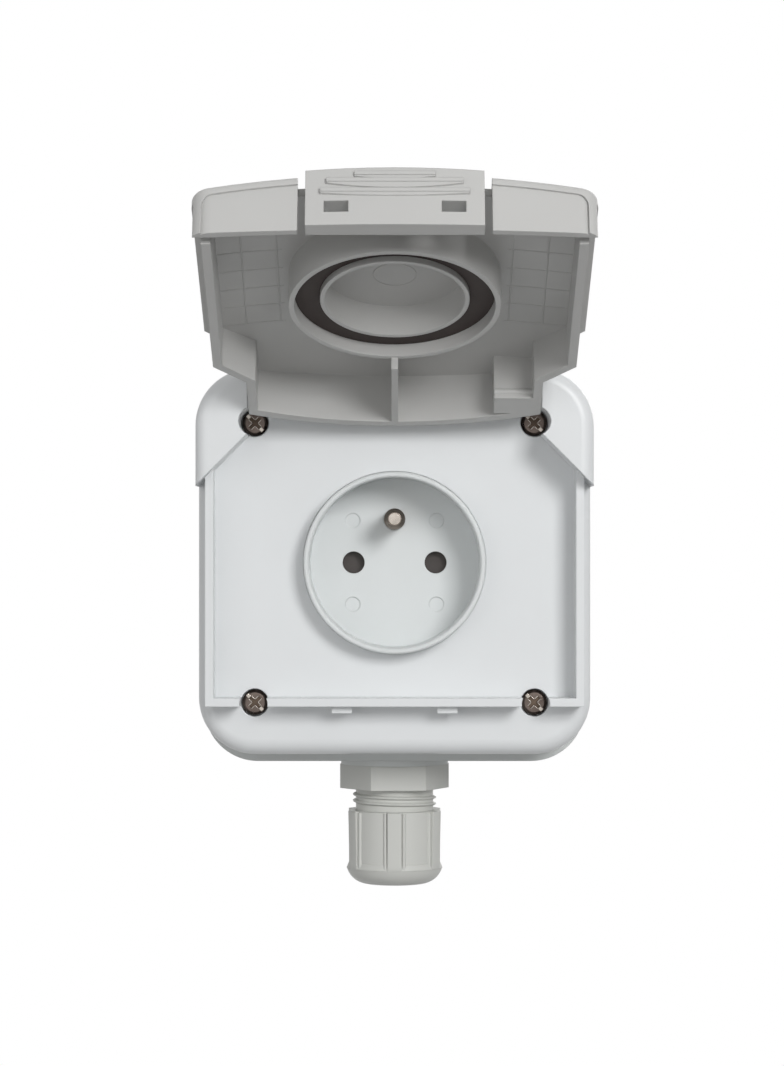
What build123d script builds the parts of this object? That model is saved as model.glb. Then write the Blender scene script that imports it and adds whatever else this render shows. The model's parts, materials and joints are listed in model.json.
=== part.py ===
from build123d import *
import math
import os

os.makedirs("parts", exist_ok=True)

# Frame: X to the right, Z up, the wall at Y = 0 and the front towards -Y.
# A depth is the distance from the wall. Heights are counted from the well's centre.

# How far a cutting shape runs past what it cuts, and the margin for picking edges
overrun = 1.0
pick_margin = 0.1

# Cover and box
cover_width = 90.0
cover_height = 88.0
cover_corner = 13.0
cover_wall = 3.0
cover_floor = 2.5
cover_edge = 3.5
box_edge = 1.0
joint_depth = 28.0
face_depth = 46.0
box_inset = 0.4
box_drop = 2.6
box_wall = 4.0
box_back = 3.0
cavity_corner = 9.0

# Seal between box and cover
seal_width = 1.1
seal_depth = 1.0
seal_inset = 1.65
seal_clearance = 0.05

# Cover screws and their posts
screw_inset_x = 13.0
screw_inset_z = 12.0
post_radius = 4.5
cover_screw_radius = 1.75
cover_screw_head = 2.9
cover_screw_head_height = 2.2
cover_screw_sink = 3.0
cover_screw_grip = 13.0
post_floor = 4.0
screw_clearance = 0.05
head_clearance = 0.3
head_bevel_share = 0.3
recess_depth = 1.1
recess_span = 3.2
recess_width = 0.8

# Holes that fasten the box to the wall
wall_hole_radius = 2.25
wall_hole_pitch_x = 40.0
wall_hole_pitch_z = 66.0

# Ridge, catches and hinge towers of the cover
ridge_inset = 3.9
ridge_wall = 1.9
ridge_height = 8.0
ridge_lift = 11.4
ridge_start = 3.0
catch_offset = 12.0
catch_width = 4.6
catch_height = 1.8
catch_reach = 1.6
catch_lift = 4.9
tower_width = 11.8
tower_reach = 14.8
tower_over = 3.5
tower_edge = 3.0
pin_grip = 4.2
bridge_height = 9.0
bridge_thickness = 2.0

# Lid and hinge
open_angle = 116.0
hinge_inset = 4.6
hinge_drop = 2.0
lid_gap = 0.5
lid_rise = 13.6
lid_plate = 1.8
lid_wall = 2.0
crown_radius = 300.0
lid_side_gap = 1.3
lid_overhang = 2.0
lid_back = 1.0
lid_top_bow = 5.5
lid_turn_gap = 1.0
turn_share = 0.4
lid_end_gap = 0.3
lid_end_bow = 1.7
lid_corner = 4.0
lid_edge = 1.6
panel_border = 2.2
panel_corner = 2.5
panel_sink = 0.5
tongue_half = 18.3
tongue_slit = 1.6
tongue_slit_length = 4.0
tongue_proud = 1.5
tongue_bow = 0.4
window_width = 5.0
window_height = 2.6
grip_height = 0.9
grip_proud = 0.5
grip_bars = ((7.6, 15.3), (10.0, 14.0), (11.6, 8.3))
rib_wall = 1.5
stop_width = 9.6
stop_length = 7.0
stop_drop = 4.0
pin_radius = 1.25
pin_engage = 1.5
running_clearance = 0.05
swing_clearance = 0.4

# Collar and its rubber ring
collar_gap = 0.75
collar_wall = 1.2
collar_overlap = 2.6
sleeve_gap = 3.5
sleeve_wall = 1.0
sleeve_overlap = 1.0
gasket_gap = 0.35
gasket_height = 3.0
gasket_clearance = 0.05

# Socket cup
cup_outer = 20.75
cup_inner = 19.5
cup_depth = 15.0
cup_rise = 6.0
cup_floor = 2.5
cup_flange = 23.0
cup_flange_height = 2.0
cup_clearance = 0.2
rim_chamfer = 0.35
pin_pitch = 19.0
pin_hole_radius = 2.55
earth_offset = 10.0
earth_radius = 2.4
earth_length = 14.0
earth_tip = 1.6
earth_tip_inset = 0.9
earth_head = 1.0
mark_radius = 1.7
mark_offset = 9.7
mark_depth = 0.2

# Mechanism
body_half = 19.0
body_top = 16.0
body_bottom = -28.0
body_thickness = 18.5
body_corner = 3.0
ear_reach = 27.0
ear_half = 4.0
ear_height = 3.0
ear_screw = 24.0
ear_post_radius = 3.5
ear_screw_radius = 1.25
ear_screw_head = 2.4
ear_screw_head_height = 1.6
ear_screw_grip = 7.0
ear_sink = 1.0
screw_tip_gap = 2.0
sheet = 0.8
strip_half = 3.0
leaf_gap = 2.3
leaf_half = 3.2
leaf_height = 9.0
contact_seat = 5.2
pocket_clearance = 0.3
terminal_side = 7.0
terminal_height = 8.0
terminal_room = 1.0
wire_radius = 1.6
wire_floor = 1.0
terminal_screw_radius = 1.5
terminal_head = 2.2
terminal_head_height = 1.8
terminal_screw_length = 3.4
terminal_tip_gap = 0.2
slot_width = 0.7
slot_depth = 0.7

# Shutter and its spring
shutter_half = 13.5
shutter_top = 3.4
shutter_bottom = -3.4
shutter_thickness = 1.2
shutter_travel = 6.0
shutter_clearance = 0.2
shutter_ramp = 0.6
spring_turns = 4.0
spring_radius = 1.3
spring_wire = 0.25
spring_length = 9.0
spring_end_turn = 0.5
spring_play = 0.1
spring_room = 1.0

# Cable gland
gland_depth = 15.0
boss_radius = 12.75
boss_height = 1.4
gland_thread = 9.9
gland_root = 9.2
gland_thread_clearance = 0.1
gland_inside = 2.0
hex_across = 22.5
hex_height = 5.8
hex_turn = 4.7
thread_show = 5.2
tube_bore = 6.5
tube_end_bore = 8.2
tube_in_nut = 11.0
nut_top = 11.8
nut_low = 11.4
nut_height = 17.5
nut_edge = 5.0
nut_floor = 4.0
nut_flat_share = 0.75
nut_ribs = 6
nut_rib_half = 1.7
nut_rib_length = 6.0
nut_flat_sink = 0.55
gland_seal_bore = 5.0
gland_seal_gap = 0.1
gland_seal_drop = 0.3

# Worked-out places
front = Plane.XZ
screw_pitch_x = cover_width - 2 * screw_inset_x
screw_pitch_z = cover_height - 2 * screw_inset_z
screw_spots = {
    "top_left": (-screw_pitch_x / 2, screw_pitch_z / 2),
    "top_right": (screw_pitch_x / 2, screw_pitch_z / 2),
    "bottom_left": (-screw_pitch_x / 2, -screw_pitch_z / 2),
    "bottom_right": (screw_pitch_x / 2, -screw_pitch_z / 2),
}
mouth_depth = face_depth + lid_gap
rim_depth = face_depth + cup_rise
hinge_depth = mouth_depth + lid_rise - hinge_inset
hinge_height = cover_height / 2 - hinge_drop
tower_inner = cover_width / 2 - tower_width
tower_turn = cover_height / 2 - tower_reach
tower_depth = hinge_depth + tower_over
ridge_inner = cover_width / 2 - ridge_inset
ridge_outer = ridge_inner + ridge_wall
ridge_bottom = ridge_lift - cover_height / 2
catch_depth = face_depth + catch_lift
lid_narrow = tower_inner - swing_clearance
lid_wide = ridge_inner - lid_side_gap
lid_top = hinge_height + lid_back
lid_turn = tower_turn - lid_turn_gap
lid_end = ridge_bottom - lid_end_gap - lid_wall
collar_inner = cup_outer + collar_gap
collar_depth = rim_depth - collar_overlap
sleeve_outer = cup_inner - sleeve_gap
sleeve_depth = rim_depth - sleeve_overlap
well_depth = rim_depth - cup_depth
cup_back = well_depth - cup_floor
body_front = cup_back
body_back = body_front - body_thickness
ear_seat = body_back - ear_height + ear_sink
contact_depth = body_back + contact_seat
cover_screw_length = face_depth - cover_screw_sink - joint_depth + cover_screw_grip
ear_screw_length = ear_height + ear_screw_grip
cover_inside = face_depth - cover_floor
box_bottom = -cover_height / 2 - box_drop
boss_bottom = box_bottom - boss_height
hex_bottom = boss_bottom - hex_height
nut_start = hex_bottom - thread_show
nut_end = nut_start - nut_height


def at_depth(depth):
    """Plane facing the front at a distance from the wall."""
    return front.offset(depth)


def save(solid, label):
    """Label a finished piece and write its file."""
    solid.label = label
    export_step(solid, f"parts/{label}.step")


# Box: an open tray with posts, the wall holes, the seal's groove and the cable boss
box_width = cover_width - 2 * box_inset
box_top = cover_height / 2 - box_inset
box_height = box_top - box_bottom
box_middle = (box_top + box_bottom) / 2
cavity_width = cover_width - 2 * box_wall
cavity_height = cover_height - 2 * box_wall
groove_out = seal_inset - seal_clearance
groove_in = seal_inset + seal_width + seal_clearance
with BuildPart() as back_box:
    with BuildSketch(front):
        with Locations((0, box_middle)):
            RectangleRounded(box_width, box_height, cover_corner - box_inset)
    extrude(amount=joint_depth)
    fillet(back_box.edges().group_by(Axis.Y)[-1], radius=box_edge)
    with BuildSketch(Plane.XY.offset(boss_bottom)):
        with Locations((0, -gland_depth)):
            Circle(boss_radius)
    extrude(amount=boss_height + box_wall)
    with BuildSketch(at_depth(box_back)):
        RectangleRounded(cavity_width, cavity_height, cavity_corner)
    extrude(amount=joint_depth, mode=Mode.SUBTRACT)
    with BuildSketch(at_depth(box_back)):
        with GridLocations(screw_pitch_x, screw_pitch_z, 2, 2):
            Circle(post_radius)
    extrude(amount=joint_depth - box_back)
    with BuildSketch(at_depth(box_back)):
        with GridLocations(2 * ear_screw, 1, 2, 1):
            Circle(ear_post_radius)
    extrude(amount=ear_seat - box_back)
    with BuildSketch(at_depth(joint_depth)):
        RectangleRounded(cover_width - 2 * groove_out, cover_height - 2 * groove_out,
                         cover_corner - groove_out)
        RectangleRounded(cover_width - 2 * groove_in, cover_height - 2 * groove_in,
                         cover_corner - groove_in, mode=Mode.SUBTRACT)
    extrude(amount=-seal_depth - seal_clearance, mode=Mode.SUBTRACT)
    with BuildSketch(front):
        with GridLocations(wall_hole_pitch_x, wall_hole_pitch_z, 2, 2):
            Circle(wall_hole_radius)
    extrude(amount=box_back, mode=Mode.SUBTRACT)
    with BuildSketch(at_depth(joint_depth)):
        with GridLocations(screw_pitch_x, screw_pitch_z, 2, 2):
            Circle(cover_screw_radius + screw_clearance)
    extrude(amount=box_back + post_floor - joint_depth, mode=Mode.SUBTRACT)
    with BuildSketch(at_depth(ear_seat)):
        with GridLocations(2 * ear_screw, 1, 2, 1):
            Circle(ear_screw_radius + screw_clearance)
    extrude(amount=-ear_screw_grip - screw_tip_gap, mode=Mode.SUBTRACT)
    with BuildSketch(Plane.XY.offset(boss_bottom)):
        with Locations((0, -gland_depth)):
            Circle(gland_thread + gland_thread_clearance)
    extrude(amount=boss_height + box_drop + box_wall + overrun, mode=Mode.SUBTRACT)
save(back_box.part, "back_box")

with BuildPart() as box_gasket:
    with BuildSketch(at_depth(joint_depth - seal_depth)):
        RectangleRounded(cover_width - 2 * seal_inset, cover_height - 2 * seal_inset,
                         cover_corner - seal_inset)
        inner_inset = seal_inset + seal_width
        RectangleRounded(cover_width - 2 * inner_inset, cover_height - 2 * inner_inset,
                         cover_corner - inner_inset, mode=Mode.SUBTRACT)
    extrude(amount=seal_depth)
save(box_gasket.part, "box_gasket")

# Cover: shell, ridge, catches, hinge towers, trough for the lid's swing
tower_foot = tower_turn - (cover_width / 2 - tower_inner)
ridge_foot = tower_foot + ridge_start
ridge_floor = ridge_bottom + ridge_wall
lid_swing = math.hypot(lid_top + lid_top_bow - hinge_height, hinge_depth - mouth_depth)
with BuildPart() as front_cover:
    with BuildSketch(at_depth(joint_depth)):
        RectangleRounded(cover_width, cover_height, cover_corner)
    extrude(amount=face_depth - joint_depth)
    fillet(front_cover.edges().group_by(Axis.Y)[0], radius=cover_edge)
    with BuildSketch(at_depth(joint_depth)) as tower_plan:
        RectangleRounded(cover_width, cover_height, cover_corner)
        with BuildLine():
            Polyline((tower_inner, cover_height), (tower_inner, tower_turn),
                     (cover_width / 2 + overrun, tower_foot - overrun), (cover_width, cover_height),
                     close=True)
        make_face(mode=Mode.INTERSECT)
        mirror(about=Plane.YZ)
    extrude(amount=tower_depth - joint_depth)
    outer_edges = front_cover.edges().group_by(Axis.Y)[0].filter_by(
        lambda e: e.center().Z > cover_height / 2 - pick_margin or abs(e.center().X) > ridge_inner)
    fillet(outer_edges.filter_by(lambda e: e.center().Z > tower_turn), radius=tower_edge)
    with BuildSketch(at_depth(face_depth - overrun)):
        with BuildLine():
            Polyline((-ridge_outer, ridge_foot), (-ridge_outer, ridge_bottom),
                     (ridge_outer, ridge_bottom), (ridge_outer, ridge_foot),
                     (ridge_inner, ridge_foot + ridge_wall), (ridge_inner, ridge_floor),
                     (-ridge_inner, ridge_floor), (-ridge_inner, ridge_foot + ridge_wall),
                     close=True)
        make_face()
    extrude(amount=ridge_height + overrun)
    with BuildSketch(at_depth(catch_depth - catch_height / 2)):
        with Locations((-catch_offset, ridge_bottom - catch_reach / 2),
                       (catch_offset, ridge_bottom - catch_reach / 2)):
            Rectangle(catch_width, catch_reach)
    extrude(amount=catch_height)
    with BuildSketch(at_depth(joint_depth)):
        RectangleRounded(cover_width - 2 * cover_wall, cover_height - 2 * cover_wall,
                         cover_corner - cover_wall)
    extrude(amount=cover_inside - joint_depth, mode=Mode.SUBTRACT)
    with BuildSketch(at_depth(joint_depth)):
        with GridLocations(screw_pitch_x, screw_pitch_z, 2, 2):
            Circle(post_radius)
    extrude(amount=cover_inside - joint_depth)
    with BuildSketch(at_depth(cover_inside - bridge_thickness)):
        with Locations((0, cover_height / 2 - (cover_wall + bridge_height) / 2)):
            Rectangle(2 * lid_narrow, bridge_height)
    extrude(amount=bridge_thickness)
    with BuildSketch(Plane.YZ.offset(-tower_inner)):
        with Locations((-hinge_depth, hinge_height)):
            Circle(lid_swing + swing_clearance)
    extrude(amount=2 * tower_inner, mode=Mode.SUBTRACT)
    with BuildSketch(at_depth(face_depth - cover_screw_sink)):
        with GridLocations(screw_pitch_x, screw_pitch_z, 2, 2):
            Circle(cover_screw_head + head_clearance)
    extrude(amount=tower_depth, mode=Mode.SUBTRACT)
    with BuildSketch(at_depth(joint_depth)):
        with GridLocations(screw_pitch_x, screw_pitch_z, 2, 2):
            Circle(cover_screw_radius + screw_clearance)
        Circle(cup_outer + cup_clearance)
    extrude(amount=face_depth - joint_depth, mode=Mode.SUBTRACT)
    for side in (-1, 1):
        with BuildSketch(Plane.YZ.offset(side * (tower_inner - overrun))):
            with Locations((-hinge_depth, hinge_height)):
                Circle(pin_radius)
        extrude(amount=side * (pin_grip + overrun), mode=Mode.SUBTRACT)
save(front_cover.part, "front_cover")


def make_screw(top, spot, shank, head, head_height, length, cross):
    """Pan-head screw whose head starts at depth top, with a cross or a plain slot."""
    with BuildPart() as screw:
        with BuildSketch(at_depth(top)):
            with Locations(spot):
                Circle(head)
        extrude(amount=head_height)
        chamfer(screw.edges().group_by(Axis.Y)[0], length=head_height * head_bevel_share)
        with BuildSketch(at_depth(top)):
            with Locations(spot):
                Circle(shank)
        extrude(amount=-length)
        with BuildSketch(at_depth(top + head_height)):
            with Locations(spot):
                if cross:
                    Rectangle(recess_span, recess_width, rotation=45)
                    Rectangle(recess_span, recess_width, rotation=-45)
                else:
                    Rectangle(2 * head, slot_width)
        extrude(amount=-(recess_depth if cross else slot_depth), mode=Mode.SUBTRACT)
    return screw.part


for place, spot in screw_spots.items():
    screw = make_screw(face_depth - cover_screw_sink, spot, cover_screw_radius, cover_screw_head,
                       cover_screw_head_height, cover_screw_length, True)
    save(screw, f"cover_screw_{place}")

# Hinge pins, fixed in the towers and running in the lid's side walls
pin_start = lid_narrow - pin_engage
pin_length = tower_inner + pin_grip - pin_start
for side, place in ((-1, "left"), (1, "right")):
    with BuildPart() as hinge_pin:
        with BuildSketch(Plane.YZ.offset(side * pin_start)):
            with Locations((-hinge_depth, hinge_height)):
                Circle(pin_radius)
        extrude(amount=side * pin_length)
    save(hinge_pin.part, f"hinge_pin_{place}")

# Lid, drawn in its own plane on the hinge axis: local y runs towards the hinge end,
# local z out of the cover. The plane is turned back by the opening angle.
swing = math.radians(open_angle)
lid_plane = Plane(origin=(0, -hinge_depth, hinge_height), x_dir=(1, 0, 0),
                  z_dir=(0, -math.cos(swing), math.sin(swing)))
mouth = mouth_depth - hinge_depth
lid_front = mouth + lid_rise
end_line = lid_end - hinge_height
end_plane = Plane(lid_plane.origin, x_dir=lid_plane.x_dir, z_dir=-lid_plane.y_dir)


def lid_level(depth):
    """Plane of the lid that lies at a depth when the lid is shut."""
    return lid_plane.offset(depth - hinge_depth)


def tray_face(inset, overhang, corner):
    """Outline of the lid, inset from its walls and widened at the sides by an overhang."""
    top = lid_back - inset
    turn = lid_turn - hinge_height - inset * turn_share
    narrow = lid_narrow - inset
    side = lid_wide - inset + overhang
    end = end_line + inset
    with BuildSketch() as plan:
        with BuildLine():
            ThreePointArc((-narrow, top), (0, top + lid_top_bow), (narrow, top))
            ThreePointArc((side, end), (0, end - lid_end_bow), (-side, end))
            for hand in (-1, 1):
                Polyline((hand * narrow, top), (hand * narrow, turn),
                         (hand * side, turn - side + narrow), (hand * side, end))
        make_face()
        fillet(plan.vertices().group_by(Axis.Y)[0], radius=corner)
    return plan.sketch


def crown(height):
    """Solid under the domed surface whose top is at a lid height."""
    with BuildPart() as dome:
        with BuildSketch(end_plane):
            with Locations((0, height - crown_radius)):
                Circle(crown_radius)
        extrude(amount=cover_height, both=True)
    return dome.part


outer_crown = crown(lid_front)
with BuildPart() as lid_hollow:
    with BuildSketch(lid_plane.offset(mouth)):
        add(tray_face(lid_wall, 0, lid_wall / 2))
    extrude(amount=lid_rise)
    add(crown(lid_front - lid_plate), mode=Mode.INTERSECT)

# Shallow panels in the free end, on both sides of the tongue
wide_half = lid_wide + lid_overhang
panel_in = tongue_half + tongue_slit
panel_out = wide_half - panel_border
with BuildPart() as lid_panels:
    with BuildSketch(end_plane.offset(-end_line / 2)) as panel_plan:
        for side in (-1, 1):
            with Locations((side * (panel_in + panel_out) / 2, mouth + lid_rise / 2)):
                Rectangle(panel_out - panel_in, lid_rise)
        with Locations((0, lid_front - crown_radius)):
            Circle(crown_radius - panel_border, mode=Mode.INTERSECT)
        side_corners = panel_plan.vertices().filter_by(lambda v: abs(v.X) > panel_out - pick_margin)
        fillet(side_corners.filter_by(lambda v: v.Y > mouth + panel_corner), radius=panel_corner)
    extrude(amount=-end_line)
    with BuildSketch(lid_plane.offset(mouth)):
        add(tray_face(panel_sink, lid_overhang, lid_corner))
    extrude(amount=lid_rise, mode=Mode.SUBTRACT)

notch_length = ridge_floor + swing_clearance - lid_end - lid_wall
skirt_level = face_depth + ridge_height + swing_clearance
with BuildPart() as lid:
    with BuildSketch(lid_plane.offset(mouth)):
        add(tray_face(0, lid_overhang, lid_corner))
    extrude(amount=lid_rise)
    add(outer_crown, mode=Mode.INTERSECT)
    crown_face = lid.faces().filter_by(GeomType.CYLINDER).sort_by(SortBy.AREA)[-1]
    fillet(crown_face.edges(), radius=lid_edge)
    with BuildSketch(lid_plane.offset(mouth)):
        with Locations((0, end_line + lid_wall)):
            Rectangle(2 * wide_half + overrun, lid_turn - lid_end - lid_wall,
                      align=(Align.CENTER, Align.MIN))
        add(tray_face(0, 0, lid_corner), mode=Mode.SUBTRACT)
    extrude(amount=skirt_level - mouth_depth, mode=Mode.SUBTRACT)
    add(lid_panels.part, mode=Mode.SUBTRACT)
    add(lid_hollow.part, mode=Mode.SUBTRACT)
    with BuildSketch(lid_level(collar_depth)):
        with Locations((0, -hinge_height)):
            Circle(collar_inner + collar_wall)
            Circle(collar_inner, mode=Mode.SUBTRACT)
    extrude(amount=lid_front - collar_depth + hinge_depth)
    with BuildSketch(lid_level(sleeve_depth)):
        with Locations((0, -hinge_height)):
            Circle(sleeve_outer)
            Circle(sleeve_outer - sleeve_wall, mode=Mode.SUBTRACT)
    extrude(amount=lid_front - sleeve_depth + hinge_depth)
    gasket_seat = rim_depth + gasket_gap + gasket_height
    with BuildSketch(lid_level(gasket_seat)):
        with Locations((0, -hinge_height)):
            Circle(collar_inner + collar_wall / 2)
            Circle(sleeve_outer - sleeve_wall / 2, mode=Mode.SUBTRACT)
    extrude(amount=lid_front - gasket_seat + hinge_depth)
    with BuildSketch(lid_plane.offset(mouth)):
        rib_start = collar_inner + collar_wall / 2 - hinge_height
        rib_end = lid_back + lid_top_bow - lid_wall / 2
        with Locations((0, (rib_start + rib_end) / 2)):
            Rectangle(rib_wall, rib_end - rib_start)
        with Locations((lid_narrow - lid_wall / 2 - stop_width / 2, lid_back - stop_drop)):
            Rectangle(stop_width, stop_length)
    extrude(amount=lid_rise)
    with BuildSketch(lid_plane.offset(mouth)):
        with BuildLine():
            proud = end_line - lid_end_bow - tongue_proud
            Polyline((-tongue_half, end_line + lid_wall / 2), (-tongue_half, proud + tongue_bow))
            ThreePointArc((-tongue_half, proud + tongue_bow), (0, proud), (tongue_half, proud + tongue_bow))
            Polyline((tongue_half, proud + tongue_bow), (tongue_half, end_line + lid_wall / 2),
                     (-tongue_half, end_line + lid_wall / 2))
        make_face()
    extrude(amount=lid_rise)
    for side in (-1, 1):
        with BuildSketch(lid_plane.offset(mouth)):
            with Locations((side * (tongue_half + tongue_slit / 2), end_line)):
                Rectangle(tongue_slit, 2 * tongue_slit_length)
            with Locations((side * (lid_wide - lid_wall / 2), end_line + lid_wall + notch_length / 2)):
                Rectangle(lid_wall + overrun, notch_length)
        extrude(amount=ridge_height + lid_gap, mode=Mode.SUBTRACT)
        with BuildSketch(lid_plane.offset(mouth + ridge_height)):
            with Locations((side * (tongue_half + tongue_slit / 2), end_line)):
                Rectangle(tongue_slit, 2 * tongue_slit_length)
        extrude(amount=lid_rise, mode=Mode.SUBTRACT)
        with BuildSketch(lid_level(catch_depth - window_height / 2)):
            with Locations((side * catch_offset, end_line)):
                Rectangle(window_width, 4 * lid_wall)
        extrude(amount=window_height, mode=Mode.SUBTRACT)
    add(outer_crown, mode=Mode.INTERSECT)
    for rise, half in grip_bars:
        with BuildSketch(lid_plane.offset(mouth + rise)):
            with Locations((0, proud + tongue_proud / 2 + tongue_bow - grip_proud)):
                Rectangle(2 * half, tongue_proud + 2 * tongue_bow)
        extrude(amount=grip_height)
    for side in (-1, 1):
        with BuildSketch(Plane.YZ.offset(side * (lid_narrow + overrun))):
            with Locations((-hinge_depth, hinge_height)):
                Circle(pin_radius + running_clearance)
        extrude(amount=-side * (pin_engage + running_clearance + overrun), mode=Mode.SUBTRACT)
save(lid.part, "lid")

ring_wall = collar_inner - sleeve_outer - 2 * gasket_clearance
with BuildPart() as lid_gasket:
    with BuildSketch(lid_level(rim_depth + gasket_gap)):
        with Locations((0, -hinge_height)):
            Circle(collar_inner - gasket_clearance)
            Circle(collar_inner - gasket_clearance - ring_wall, mode=Mode.SUBTRACT)
    extrude(amount=gasket_height)
save(lid_gasket.part, "lid_gasket")

# Socket cup: a turned form with the well in front, a flange behind the cover and pin holes
with BuildPart() as socket_cup:
    with BuildSketch(at_depth(cup_back)):
        Circle(cup_outer)
    extrude(amount=rim_depth - cup_back)
    with BuildSketch(at_depth(cover_inside - cup_flange_height)):
        Circle(cup_flange)
    extrude(amount=cup_flange_height)
    with BuildSketch(at_depth(well_depth)):
        Circle(cup_inner)
    extrude(amount=cup_depth, mode=Mode.SUBTRACT)
    chamfer(socket_cup.edges().group_by(Axis.Y)[0], length=rim_chamfer)
    with BuildSketch(at_depth(cup_back)):
        with GridLocations(pin_pitch, 1, 2, 1):
            Circle(pin_hole_radius)
        with Locations((0, earth_offset)):
            Circle(earth_radius + running_clearance)
    extrude(amount=cup_floor, mode=Mode.SUBTRACT)
    with BuildSketch(at_depth(well_depth - mark_depth)):
        with GridLocations(2 * mark_offset, 2 * mark_offset, 2, 2):
            Circle(mark_radius)
    extrude(amount=mark_depth, mode=Mode.SUBTRACT)
save(socket_cup.part, "socket_cup")

# Mechanism block: pockets for the clips, the shutter, its spring and the terminals
contact_spots = {"live": -pin_pitch / 2, "neutral": pin_pitch / 2}
earth_strip_depth = body_back - sheet
shutter_back = body_front - shutter_thickness - shutter_clearance
shutter_floor = shutter_back - shutter_clearance
shutter_low = shutter_bottom - shutter_travel - shutter_clearance
spring_top = shutter_bottom
spring_bottom = spring_top - spring_length
with BuildPart() as mechanism_body:
    with BuildSketch(at_depth(body_back)):
        with Locations((0, (body_top + body_bottom) / 2)):
            RectangleRounded(2 * body_half, body_top - body_bottom, body_corner)
    extrude(amount=body_front - body_back)
    with BuildSketch(at_depth(ear_seat)):
        Rectangle(2 * ear_reach, 2 * ear_half)
    extrude(amount=ear_height)
    with BuildSketch(at_depth(body_back - ear_height)):
        Rectangle(2 * body_half, 2 * (ear_half + overrun))
    extrude(amount=ear_height, mode=Mode.SUBTRACT)
    with BuildSketch(at_depth(body_back - ear_height)):
        with GridLocations(2 * ear_screw, 1, 2, 1):
            Circle(ear_screw_radius + screw_clearance)
    extrude(amount=3 * ear_height, mode=Mode.SUBTRACT)
    with BuildSketch(at_depth(shutter_floor)):
        with Locations((0, (shutter_top + shutter_low) / 2)):
            Rectangle(2 * (shutter_half + shutter_clearance),
                      shutter_top - shutter_low + 2 * shutter_clearance)
    extrude(amount=body_front - shutter_floor, mode=Mode.SUBTRACT)
    with BuildSketch(at_depth(contact_depth)):
        for spot in contact_spots.values():
            with Locations((spot, (leaf_half + body_bottom) / 2)):
                Rectangle(2 * (strip_half + sheet / 2 + pocket_clearance),
                          leaf_half - body_bottom + 2 * pocket_clearance)
    extrude(amount=leaf_height + sheet + pocket_clearance, mode=Mode.SUBTRACT)
    with BuildSketch(at_depth(contact_depth)):
        with Locations((0, body_bottom + terminal_side / 2)):
            with GridLocations(pin_pitch / 2, 1, 3, 1):
                Rectangle(terminal_side + 2 * pocket_clearance, terminal_side + terminal_room)
    extrude(amount=body_front, mode=Mode.SUBTRACT)
    with BuildSketch(at_depth(body_back)):
        with Locations((0, body_bottom + terminal_side / 2)):
            Rectangle(terminal_side + 2 * pocket_clearance, terminal_side + terminal_room)
        with Locations((0, earth_offset)):
            Circle(earth_radius + running_clearance)
    extrude(amount=body_front, mode=Mode.SUBTRACT)
    with BuildSketch(at_depth(shutter_floor - 2 * spring_radius - spring_room)):
        with Locations((0, (spring_top + spring_bottom) / 2)):
            Rectangle(2 * (spring_radius + spring_wire + pocket_clearance), spring_length)
    extrude(amount=body_front, mode=Mode.SUBTRACT)
save(mechanism_body.part, "mechanism_body")

for place, spot in contact_spots.items():
    with BuildPart() as contact:
        with BuildSketch(at_depth(contact_depth)):
            with Locations((spot, (leaf_half + body_bottom) / 2)):
                Rectangle(2 * strip_half, leaf_half - body_bottom)
        extrude(amount=sheet)
        with BuildSketch(at_depth(contact_depth)):
            with Locations((spot - leaf_gap - sheet / 2, 0), (spot + leaf_gap + sheet / 2, 0)):
                Rectangle(sheet, 2 * leaf_half)
        extrude(amount=leaf_height + sheet)
    save(contact.part, f"{place}_contact")

with BuildPart() as earth_strap:
    with BuildSketch(at_depth(earth_strip_depth)):
        with Locations((0, (earth_offset + strip_half + body_bottom) / 2)):
            Rectangle(2 * strip_half, earth_offset + strip_half - body_bottom)
        with Locations((0, earth_offset)):
            Circle(earth_radius, mode=Mode.SUBTRACT)
    extrude(amount=sheet)
save(earth_strap.part, "earth_strap")

with BuildPart() as earth_pin:
    with BuildSketch(at_depth(earth_strip_depth)):
        with Locations((0, earth_offset)):
            Circle(earth_radius)
    extrude(amount=well_depth + earth_length - earth_strip_depth)
    chamfer(earth_pin.edges().group_by(Axis.Y)[0], length=earth_tip, length2=earth_tip_inset)
    with BuildSketch(at_depth(earth_strip_depth)):
        with Locations((0, earth_offset)):
            Circle(earth_radius + earth_head)
    extrude(amount=-earth_head)
save(earth_pin.part, "earth_pin")

# Terminals: drilled blocks with a clamping screw each
terminal_middle = body_bottom + terminal_side / 2
terminals = {
    "live": (-pin_pitch / 2, contact_depth + sheet),
    "neutral": (pin_pitch / 2, contact_depth + sheet),
    "earth": (0.0, body_back),
}
for place, (spot, seat) in terminals.items():
    with BuildPart() as terminal:
        with BuildSketch(at_depth(seat)):
            with Locations((spot, terminal_middle)):
                Rectangle(terminal_side, terminal_side)
        extrude(amount=terminal_height)
        with BuildSketch(Plane.XY.offset(body_bottom)):
            with Locations((spot, -seat - wire_radius - wire_floor)):
                Circle(wire_radius)
        extrude(amount=terminal_side, mode=Mode.SUBTRACT)
        with BuildSketch(at_depth(seat + terminal_height)):
            with Locations((spot, terminal_middle)):
                Circle(terminal_screw_radius + screw_clearance)
        extrude(amount=-terminal_screw_length - terminal_tip_gap, mode=Mode.SUBTRACT)
    save(terminal.part, f"{place}_terminal")
    screw = make_screw(seat + terminal_height, (spot, terminal_middle), terminal_screw_radius,
                       terminal_head, terminal_head_height, terminal_screw_length, False)
    save(screw, f"{place}_terminal_screw")

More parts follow.
